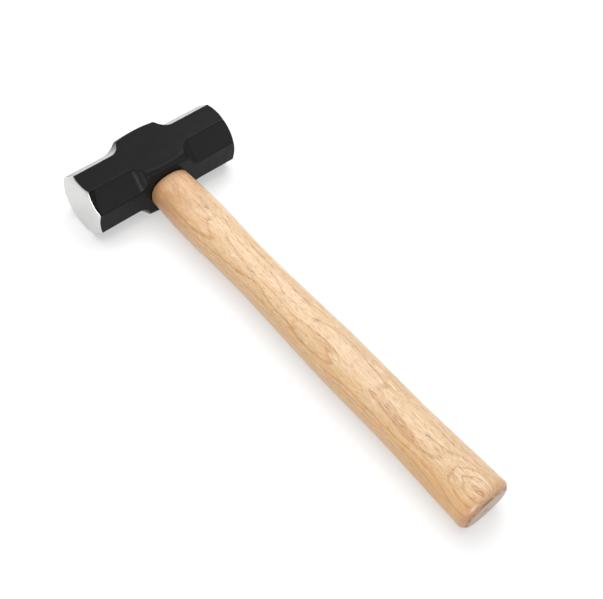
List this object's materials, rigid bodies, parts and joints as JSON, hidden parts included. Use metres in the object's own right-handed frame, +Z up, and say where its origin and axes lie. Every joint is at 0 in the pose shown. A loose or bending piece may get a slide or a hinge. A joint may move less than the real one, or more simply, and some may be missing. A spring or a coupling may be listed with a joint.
{
  "type": "lump hammer",
  "caption": "Double-faced octagonal steel lump hammer head with square cheeks, wedged on a straight oval oak handle, lying on its side.",
  "frame": {"origin": "On the surface the hammer lies on, in the middle of the ground that it covers.", "axes": "+X runs from the head towards the butt of the handle, level with the surface; +Y runs along the head from one striking face to the other; +Z is up. The hammer's own axis drops 1.03 degrees towards the butt, because it lies on the head's lower cheek edge and the butt's underside."},
  "size_m": [0.3594, 0.12, 0.0447],
  "materials": {
    "painted_steel": "satin black paint with ground bare faces",
    "oak": "clear satin lacquer over oak",
    "wedge_wood": "raw hardwood",
    "bare_steel": "dull rolled steel"
  },
  "bodies": {
    "root": {"hammer_head": "painted_steel", "handle": "oak", "timber_wedge": "wedge_wood", "steel_wedge_near": "bare_steel", "steel_wedge_far": "bare_steel"}
  },
  "joints": []
}
